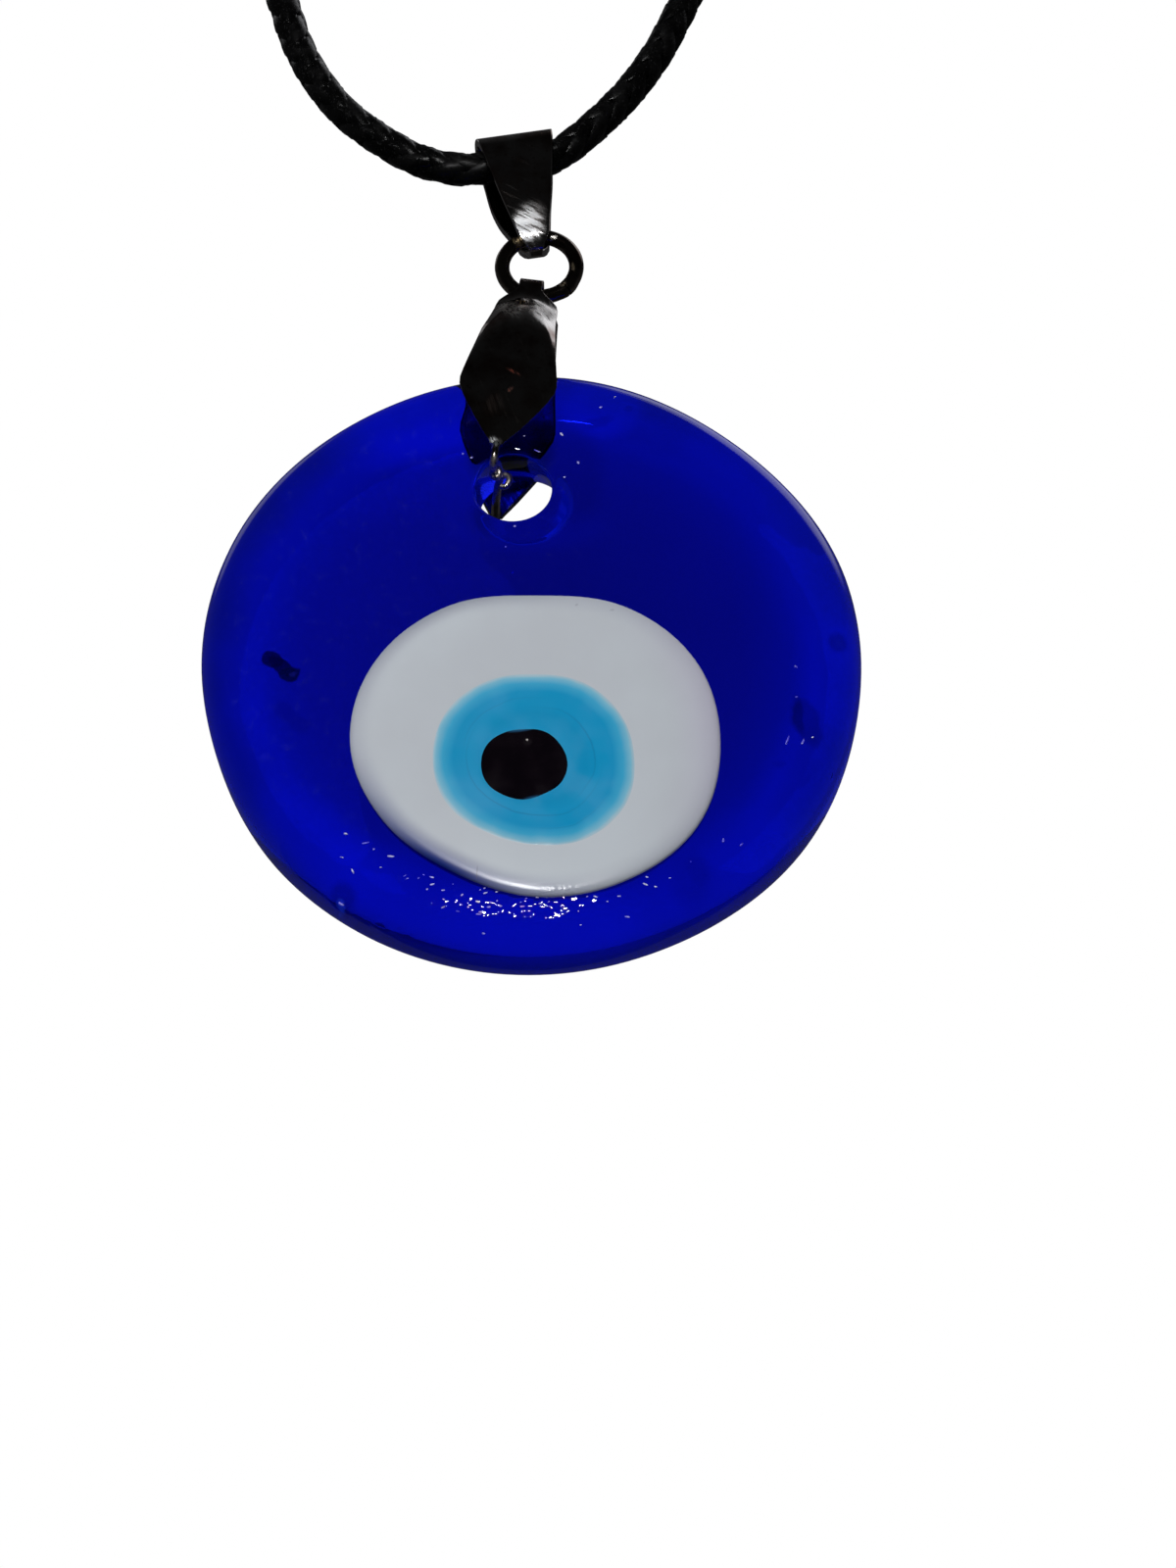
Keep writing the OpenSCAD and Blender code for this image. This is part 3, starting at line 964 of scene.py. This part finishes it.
# Fine scratches: thin lines along one direction, as rubbing leaves them
scratch_group, given, result = new_group(
    "fine_scratches",
    [
        ("At", "Vector", (0, 0, 0)), ("Turn", "Float", 0.0), ("Scale", "Float", 2200.0),
        ("Stretch", "Vector", (1, 1, 0.06)),
    ],
    ["Height", "Line"],
)
turned = turned_about_y(given["At"], given["Turn"])
drawn = vectors("MULTIPLY", turned, given["Stretch"])
lines = noise(drawn, given["Scale"], 3.0)
put(result["Height"], lines)
put(result["Line"], remap(lines, 0.6, 0.72))


def use(group, **sockets):
    """Places a node group with its values, and gives its outputs."""
    node = tree_of(sockets.values()).nodes.new("ShaderNodeGroup")
    node.node_tree = group
    feed(node, **sockets)
    return node.outputs


def spot(at, middle, half, turn, soft, strength=1.0):
    """Mask of an oval, in mm: half sizes along X and Z and 3 mm along Y, or all three given."""
    if len(half) == 2:
        half = (half[0], 3.0, half[1])
    mask = use(
        spot_group, At=at, Middle=tuple(v * MM for v in middle), Turn=radians(turn),
        Half_Size=tuple(v * MM for v in half), Softness=soft,
    )["Mask"]
    return times(mask, strength) if strength != 1.0 else mask


def lay_marks(colour, at, depth, marks_and_painted_light):
    """Lays ovals over a colour: middle x and z, half sizes, turn, softness, strength, tint."""
    for x, z, wide, high, turn, soft, strength, tint in marks_and_painted_light:
        mask = spot(at, (x, depth, z), (wide, high), turn, soft, strength)
        colour = over(colour, shade(*tint), mask)
    return colour


def own_place(tree):
    return place_node("TexCoord", {}, tree=tree)["Object"]


def from_place(tree, place):
    """Object coordinates measured from a place."""
    return vectors("SUBTRACT", own_place(tree), tuple(place))


def light_path(tree):
    return place_node("LightPath", {}, tree=tree)


def seen_straight(rays):
    """Mask of what the camera sees directly or through the glass."""
    return maths("MAXIMUM", rays["Is Camera Ray"], rays["Is Transmission Ray"])


BLACK = (0, 0, 0, 1)


def new_glass(name, **sockets):
    """A glass material, its tree and shader, and coordinates from the disc's middle."""
    m, tree, shader = new_material(name, IOR=1.5, **sockets)
    return m, tree, shader, from_place(tree, DISC)


# Cobalt glass: painted light near the rim, painted shade in the middle, casting marks, painted
# highlights
def make_cobalt():
    m, tree, shader, at = new_glass("cobalt_glass", Transmission_Weight=1.0)
    handled = use(handled_group, At=at, Cloud_Scale=110.0, Speck_Scale=1900.0)
    flat = vectors("MULTIPLY", at, (1 / DISC_R, 0, 1 / DISC_R))
    r = vectors("LENGTH", flat)
    wobble = times(minus(handled["Cloud"], 0.5), 0.05)
    # painted light and shade: brighter in a ring near the rim, darker navy in the middle
    colour = ramp(
        plus(r, wobble),
        (0.0, (3, 5, 104)), (0.3, (3, 6, 114)), (0.52, (3, 6, 121)),
        (0.66, (3, 6, 126)), (0.77, (2, 7, 138)), (0.84, (2, 8, 162)),
        (0.9, (3, 9, 150)), (0.95, (4, 11, 128)), (1.0, (8, 18, 112)),
    )
    # the marks' outlines are uneven by up to 0.3 mm, the soft patches of painted light and shade
    # are even
    drift = vectors("SUBTRACT", noise(at, 900.0, output=1), (0.5, 0.5, 0.5))
    uneven = vectors("ADD", at, vectors("MULTIPLY", drift, (0.6 * MM, 0, 0.6 * MM)))
    # painted light where the glass shows brighter, painted shade in a dark column under the leaf
    # and by the hole
    painted_light_and_shade = [
        (-6.4, 18.2, 7.2, 3.2, 18, 0.5, 1.0, (2, 10, 232)),
        (4.8, 18.6, 2.6, 2.2, -10, 0.4, 0.95, (2, 10, 214)),
        (-8.0, -18.4, 6.5, 2.4, -22, 0.5, 0.9, (2, 9, 192)),
        (-13.6, -14.8, 4.6, 2.0, -44, 0.5, 0.6, (2, 10, 200)),
        (0.0, -20.8, 9.0, 2.4, 0, 0.5, 0.8, (4, 14, 205)),
        (12.6, -17.0, 5.4, 2.4, 36, 0.5, 0.8, (3, 10, 186)),
        (18.6, 6.0, 1.6, 6.5, 16, 0.6, 0.6, (4, 14, 172)),
        (-0.4, 8.8, 4.2, 1.6, 0, 0.6, 0.8, (3, 8, 156)),
        (2.3, 12.7, 2.6, 4.2, 0, 0.3, 0.6, (2, 4, 90)),
        (-1.6, 14.9, 3.0, 3.2, -6, 0.2, 0.9, (4, 7, 54)),
        (-20.2, -7.5, 1.0, 8.0, 20, 0.6, 0.6, (2, 8, 108)),
    ]
    # casting marks, and painted highlights where noted
    marks_and_painted_light = [
        (-17.3, -1.72, 0.78, 0.62, -20, 0.12, 0.97, (0, 0, 14)),
        (-16.6, -2.2, 1.1, 0.5, -36, 0.12, 0.97, (0, 0, 14)),
        (-16.0, -2.8, 0.68, 0.62, 0, 0.12, 0.97, (0, 1, 16)),
        # painted highlight on the inclusion
        (-15.8, -2.7, 0.22, 0.18, 0, 0.5, 0.8, (24, 20, 62)),
        (20.6, -0.3, 0.62, 0.72, 0, 0.35, 0.7, (1, 4, 84)),
        (20.6, -0.3, 0.2, 0.25, 0, 0.5, 0.6, (8, 16, 120)),
        (18.3, -6.3, 1.75, 0.95, -76, 0.2, 0.75, (1, 4, 92)),
        (17.8, -5.9, 1.3, 0.34, -84, 0.35, 0.85, (0, 2, 64)),
        (4.55, 17.35, 1.0, 0.42, 22, 0.4, 0.6, (1, 5, 142)),
        (6.7, 18.4, 0.32, 0.3, 0, 0.4, 0.5, (1, 5, 140)),
        (10.5, -17.7, 1.3, 1.6, 0, 0.55, 0.5, (2, 6, 112)),
        (10.9, -17.0, 0.7, 0.9, 20, 0.5, 0.3, (2, 6, 100)),
        (-11.95, -18.6, 0.95, 0.9, 0, 0.4, 0.7, (1, 5, 92)),
        # painted glint in the bubble at the lower left
        (-12.1, -18.85, 0.34, 0.18, -35, 0.4, 0.9, (70, 110, 225)),
        # painted highlight: a thin bright arc near the top
        (3.9, 20.9, 2.2, 0.07, -10, 0.6, 0.5, (30, 50, 240)),
        (16.4, -9.4, 0.4, 0.3, 0, 0.5, 0.4, (1, 5, 110)),
    ]
    colour = lay_marks(colour, at, FRONT_Y, painted_light_and_shade)
    colour = over(colour, shade(2, 5, 96), times(handled["Cloud"], 0.22))
    colour = lay_marks(colour, uneven, FRONT_Y, marks_and_painted_light)
    # painted shade: the hole's left wall is darker
    wall = spot(at, (-3.4, 1.2, 11.6), (1.9, 2.2, 2.2), 0, 0.4, 0.9)
    colour = over(colour, shade(3, 5, 54), wall)
    # painted light: from the third bounce on, an even deep blue glow stands in for the light
    # trapped inside
    third = remap(light_path(tree)["Ray Depth"], 2.4, 2.6)
    painted_trapped_glow = over(BLACK, (0.0, 0.014, 0.16, 1), third)
    feed(
        shader, Base_Color=colour, Emission_Color=painted_trapped_glow, Emission_Strength=1.0,
        Roughness=remap(noise(at, 1400.0, 3.0), 0.5, 0.75, 0.0, 0.06),
    )
    # slow waves all over, fine dimples where the light breaks up below the eye, and a few pits
    waves = times(noise(at, 130.0), 0.35)
    field = spot(at, (-1.6, FRONT_Y, -19.7), (9.5, 1.1), 3, 0.6)
    drawn = vectors("MULTIPLY", at, (0.5, 1, 1.3))
    dimples = times(noise(drawn, 2100.0, 0.0), times(field, 0.8))
    height = plus(waves, dimples)
    # each pit: middle x and z, half sizes, turn, depth
    for x, z, wide, high, turn, depth in (
        (-16.6, -2.2, 1.5, 0.7, -34, 0.25), (18.3, -6.3, 1.7, 0.9, -76, 0.5),
        (20.6, -0.3, 0.6, 0.7, 0, 0.3), (-11.95, -18.6, 0.9, 0.85, 0, 0.4),
    ):
        pit = spot(uneven, (x, FRONT_Y, z), (wide, high), turn, 0.4, depth)
        height = minus(height, pit)
    bump(shader, height, 0.3 * MM, 0.6)
    return m


# painted glints: pale bluish white on the blisters, in place of the light that they catch
def make_painted_glint():
    m, _, shader, at = new_glass("painted_glint")
    patchy = remap(noise(at, 900.0), 0.4, 0.62)
    feed(
        shader, Base_Color=over(shade(104, 98, 248), shade(226, 224, 255), patchy),
        Roughness=remap(noise(at, 5000.0), 0.3, 0.7, 0.12, 0.4),
    )
    return m


def ring_map(tree):
    """A dot's share of a turn and share of the way out to its edge."""
    uv = place_node("UVMap", {}, {"uv_map": "ring"}, tree)[0]
    split = place_node("SeparateXYZ", {0: uv})
    return split[0], split[1]


def around(turn, middle, reach):
    """Mask of the part of a turn round a middle, both in degrees."""
    off = maths("WRAP", minus(turn, middle / 360), 0.5, -0.5)
    return remap(maths("ABSOLUTE", off), reach / 360, 0.0)


def hairline(value, level, width):
    """Mask of a thin line where a value passes a level."""
    off = maths("ABSOLUTE", minus(value, level))
    return remap(off, width, width * 0.3)


def make_white():
    m, tree, shader, at = new_glass("white_glass")
    turn, out = ring_map(tree)
    handled = use(handled_group, At=at, Cloud_Scale=70.0, Speck_Scale=2600.0)
    colour = over(shade(218, 226, 234), shade(210, 216, 224), handled["Cloud"])
    # painted shade towards the edge
    colour = over(colour, shade(168, 172, 190), times(remap(out, 0.86, 1.02), 0.5))
    # thin milk at the lower left lets the blue through, and painted shade darkens the upper left
    # and right:
    # share of the way out, middle and reach of the turn, strength, tint
    for start, middle, reach, strength, tint in (
        (0.84, 236, 62, 1.0, (28, 52, 140)),
        (0.9, 128, 60, 0.7, (150, 156, 172)),
        (0.7, 8, 60, 0.7, (206, 202, 222)),
    ):
        part = times(remap(out, start, 1.0), around(turn, middle, reach))
        colour = over(colour, shade(*tint), times(part, strength))
    colour = lay_marks(colour, at, -3.2, (
        (-3.24, -17.35, 0.4, 0.035, 87, 0.5, 0.8, (110, 112, 130)),
        (5.5, 2.0, 0.16, 0.08, 10, 0.5, 0.4, (150, 155, 170)),
        (3.1, 2.4, 0.12, 0.08, 40, 0.5, 0.4, (150, 155, 170)),
        (-10.1, -12.9, 0.22, 0.1, -30, 0.5, 0.5, (150, 158, 185)),
    ))
    rough = remap(noise(at, 90.0), 0.2, 0.8, 0.2, 0.28)
    feed(shader, Base_Color=colour, Roughness=rough)
    sparkle = spot(at, (2.4, -3.1, -19.3), (3.6, 1.0), 4, 0.4)
    grain = times(noise(at, 3400.0, 1.0), sparkle)
    bump(shader, grain, 0.1 * MM, 0.35)
    return m


def make_light_blue():
    m, tree, shader, at = new_glass("light_blue_glass")
    turn, out = ring_map(tree)
    drift = noise(at, 420.0)
    uneven = plus(out, times(minus(drift, 0.5), 0.06))
    colour = ramp(
        uneven,
        (0.3, (22, 166, 222)), (0.5, (14, 161, 217)), (0.62, (20, 167, 223)),
        (0.78, (18, 165, 222)), (0.88, (66, 186, 232)), (0.95, (136, 208, 236)),
        (1.0, (206, 222, 232)),
    )
    # hairlines where the glass was laid: share of the way out, width, middle and reach, strength
    for level, width, middle, reach, strength in (
        (0.66, 0.012, 250, 120, 0.5), (0.585, 0.012, 20, 90, 0.45), (0.8, 0.01, 300, 50, 0.25),
        (0.7, 0.01, 130, 60, 0.3),
    ):
        line = times(hairline(uneven, level, width), around(turn, middle, reach))
        colour = over(colour, shade(14, 128, 186), times(line, strength))
    notch = spot(at, (-0.1, -3.3, -2.75), (1.0, 0.34), -4, 0.6, 0.75)
    colour = over(colour, shade(200, 220, 232), notch)
    feed(shader, Base_Color=colour, Roughness=remap(drift, 0.3, 0.7, 0.14, 0.26))
    bump(shader, noise(at, 500.0), 0.2 * MM, 0.12)
    return m


def make_black():
    m, _, shader, at = new_glass("black_glass")
    cloud = noise(at, 600.0)
    colour = over((0.002, 0.0015, 0.003, 1), (0.006, 0.003, 0.006, 1), cloud)
    colour = lay_marks(colour, at, -3.4, (
        (-0.75, -6.95, 0.95, 0.26, 6, 0.5, 0.9, (44, 104, 150)),
        (0.6, -12.2, 0.9, 0.26, 8, 0.5, 0.9, (36, 96, 142)),
        # painted glint: a tiny white dot with a faint halo
        (-0.13, -7.85, 0.07, 0.07, 0, 0.4, 1.0, (240, 235, 230)),
        (-0.1, -8.0, 0.26, 0.24, 0, 0.5, 0.4, (40, 36, 40)),
    ))
    feed(shader, Base_Color=colour, Roughness=remap(cloud, 0.3, 0.7, 0.05, 0.14))
    bump(shader, noise(at, 800.0), 0.1 * MM, 0.15)
    return m


def make_plated(name, place, bright, tarnish, smooth, lines, wear_and_painted_light=()):
    """Plated metal: bright where it is clean, browner where it is handled, with fine scratches.

    Given the least roughness, the scratches' turn, and patches of wear and painted light: middle,
    half sizes, turn, softness, tint, strength, added roughness.
    """
    m, tree, shader = new_material(name, Metallic=1.0)
    at = from_place(tree, place)
    handled = use(handled_group, At=at, Cloud_Scale=520.0, Speck_Scale=4200.0)
    scratched = use(scratch_group, At=at, Turn=radians(lines), Scale=5200.0)
    colour = over(bright, tarnish, times(handled["Cloud"], 0.8))
    colour = over(colour, tarnish, times(handled["Speck"], 0.6))
    rough = plus(times(handled["Cloud"], 0.07), times(scratched["Line"], 0.08))
    rough = plus(rough, smooth)
    # each patch is wear, a painted highlight or painted shade, as noted at the calls
    for middle, half, turn, soft, tint, strength, rougher in wear_and_painted_light:
        mask = spot(at, middle, half, turn, soft, strength)
        patch_of_wear_and_light = times(mask, remap(scratched["Height"], 0.3, 0.6, 0.35, 1.0))
        colour = over(colour, shade(*tint), patch_of_wear_and_light)
        rough = plus(rough, times(patch_of_wear_and_light, rougher))
    feed(shader, Base_Color=colour, Roughness=rough)
    waves = times(noise(at, 700.0), 1.4)
    fine = times(scratched["Height"], 0.12)
    bump(shader, plus(waves, fine), 0.04 * MM, 0.5)
    return m


def make_cord_black():
    m, tree, shader = new_material("waxed_black_cord", IOR=1.5, Specular_IOR_Level=0.22)
    at = own_place(tree)
    handled = use(handled_group, At=at, Cloud_Scale=700.0, Speck_Scale=5200.0)
    colour = over((0.0015, 0.0015, 0.0016, 1), (0.004, 0.004, 0.0042, 1), handled["Cloud"])
    colour = over(colour, (0.05, 0.05, 0.052, 1), times(handled["Speck"], 0.3))
    rough = remap(handled["Cloud"], 0.0, 1.0, 0.2, 0.38)
    feed(shader, Base_Color=colour, Roughness=rough)
    bump(shader, noise(at, 9000.0), 0.05 * MM, 0.4)
    return m


dress(braided_cord, make_cord_black())
dress(teardrop_bail, make_plated(
    "bail_plate", CORD_MID, shade(206, 203, 201), shade(120, 92, 80), 0.05, 62,
    # painted highlight: a whiter, rougher patch where the bail catches the front light
    [((0.85, -1.3, -7.0), (1.7, 1.1), 74, 0.6, (250, 252, 255), 1.0, 0.42)],
))
dress(folded_leaf, make_plated(
    "leaf_plate", FOLD, shade(198, 194, 191), shade(112, 78, 66), 0.04, 20,
    [
        # painted reddish glints on the front panel
        ((-1.0, -3.7, -9.3), (0.55, 0.14), -32, 0.5, (226, 110, 84), 0.9, 0.3),
        ((-1.25, -3.7, -10.8), (0.3, 0.16), 50, 0.5, (196, 104, 80), 0.8, 0.3),
        ((-2.3, -3.7, -11.9), (0.9, 0.7), 70, 0.6, (150, 140, 136), 0.5, 0.2),
        # painted highlights on the prongs' curls and the leaf's tip
        ((-2.1, -2.0, -17.0), (1.3, 0.9), 0, 0.3, (226, 216, 202), 1.0, 0.4),
        ((-2.35, -3.5, -15.2), (0.5, 0.5), 0, 0.4, (226, 230, 232), 1.0, 0.3),
        # painted shade on the back leaf's inner face by the hole
        ((-1.0, 3.4, -15.6), (3.2, 0.9, 2.8), 0, 0.3, (84, 86, 112), 1.0, 0.3),
        # painted highlights on the upper right and left facets
        ((1.2, -2.2, -2.9), (1.2, 2.0), -12, 0.4, (250, 248, 246), 1.0, 0.3),
        ((-1.4, -2.2, -2.9), (0.8, 1.8), 24, 0.4, (240, 236, 232), 1.0, 0.3),
    ],
))
dress(closed_ring, make_plated(
    "ring_wire", RING, shade(150, 140, 130), shade(66, 42, 32), 0.08, 0,
    [
        # painted glints, golden towards the inner left
        ((1.1, -0.4, 2.35), (0.3, 0.16), 25, 0.5, (244, 240, 232), 1.0, 0.3),
        ((2.5, -0.4, -0.35), (0.14, 0.42), 10, 0.5, (246, 226, 190), 1.0, 0.3),
        ((1.75, -0.4, -1.95), (0.3, 0.18), 40, 0.5, (246, 230, 200), 1.0, 0.3),
        ((-1.65, -0.4, 1.95), (0.5, 0.3), -48, 0.5, (240, 214, 164), 0.9, 0.3),
    ],
))
dress(nodes["clasp"], make_plated(
    "clasp_plate", (0, 0, CLASP_R), shade(206, 205, 202), shade(140, 128, 118), 0.12, 0,
))
dress(cobalt_disc, make_cobalt())
dress(glass_blisters, make_painted_glint())
dress(white_eye, make_white())
dress(blue_eye, make_light_blue())
dress(black_eye, make_black())


# Floor far below the hanging pendant
bpy.ops.mesh.primitive_plane_add(size=8, location=(0, 0, -1.6))
floor = named("pale_floor")
settle(floor)
m, tree, shader = new_material("pale_floor", Roughness=0.8, Emission_Strength=1.0)
mottled = noise(own_place(tree), 3.0, 3.0)
tone = over((0.80, 0.80, 0.79, 1), (0.84, 0.84, 0.83, 1), mottled)
rays = light_path(tree)
# it shines as pale as the backdrop where it is seen, and is dark in reflections
feed(
    shader, Base_Color=over(tone, (0.03, 0.03, 0.03, 1), rays["Is Glossy Ray"]),
    Emission_Color=over(BLACK, (0.85, 0.85, 0.85, 1), seen_straight(rays)),
)
dress(floor, m)

# Surroundings: white behind the object and through the glass, dark in front where the room was
world = bpy.data.worlds.new("studio")
bpy.context.scene.world = world
world.use_nodes = True
tree = world.node_tree
tree.nodes.clear()
output = tree.nodes.new("ShaderNodeOutputWorld")
straight = seen_straight(light_path(tree))
direction = place_node("TexCoord", {}, tree=tree)["Generated"]
facing = place_node("SeparateXYZ", {0: direction})["Y"]
glow = remap(facing, -0.6, 0.5, 0.006, 0.035)
# two windows above, seen only in reflections: direction, reach, strength
for toward, reach, strength in (
    ((0.42, 0.2, 0.88), 0.42, 0.95),
    ((-0.55, 0.35, 0.76), 0.26, 0.4),
):
    away = vectors("LENGTH", vectors("SUBTRACT", direction, toward))
    glow = plus(glow, remap(away, reach, reach * 0.6, 0.0, strength))
room = place_node("Background", {"Color": (0.95, 0.96, 1.0, 1), "Strength": glow})[0]
backdrop = place_node("Background", {"Color": (1, 1, 1, 1), "Strength": 1.0}, tree=tree)[0]
put(output.inputs[0], place_node("MixShader", {0: straight, 1: room, 2: backdrop})[0])


def area(name, place, aim, size, watts):
    data = bpy.data.lights.new(name, "AREA")
    data.shape = "DISK"
    data.size = size
    data.energy = watts
    lamp = link(bpy.data.objects.new(name, data))
    lamp.location = place
    lamp.rotation_euler = (Vector(aim) - Vector(place)).to_track_quat("-Z", "Y").to_euler()
    return lamp


# A small light for the sharp highlights, and a wide one that isn't seen in reflections
area("front_light", (-0.018, -0.245, -0.165), DISC, size=0.016, watts=0.16)
soft_light = area("soft_light", (-0.25, -0.55, 0.2), DISC, size=0.5, watts=2.45)
soft_light.visible_glossy = False

bpy.context.scene.view_settings.view_transform = "Standard"
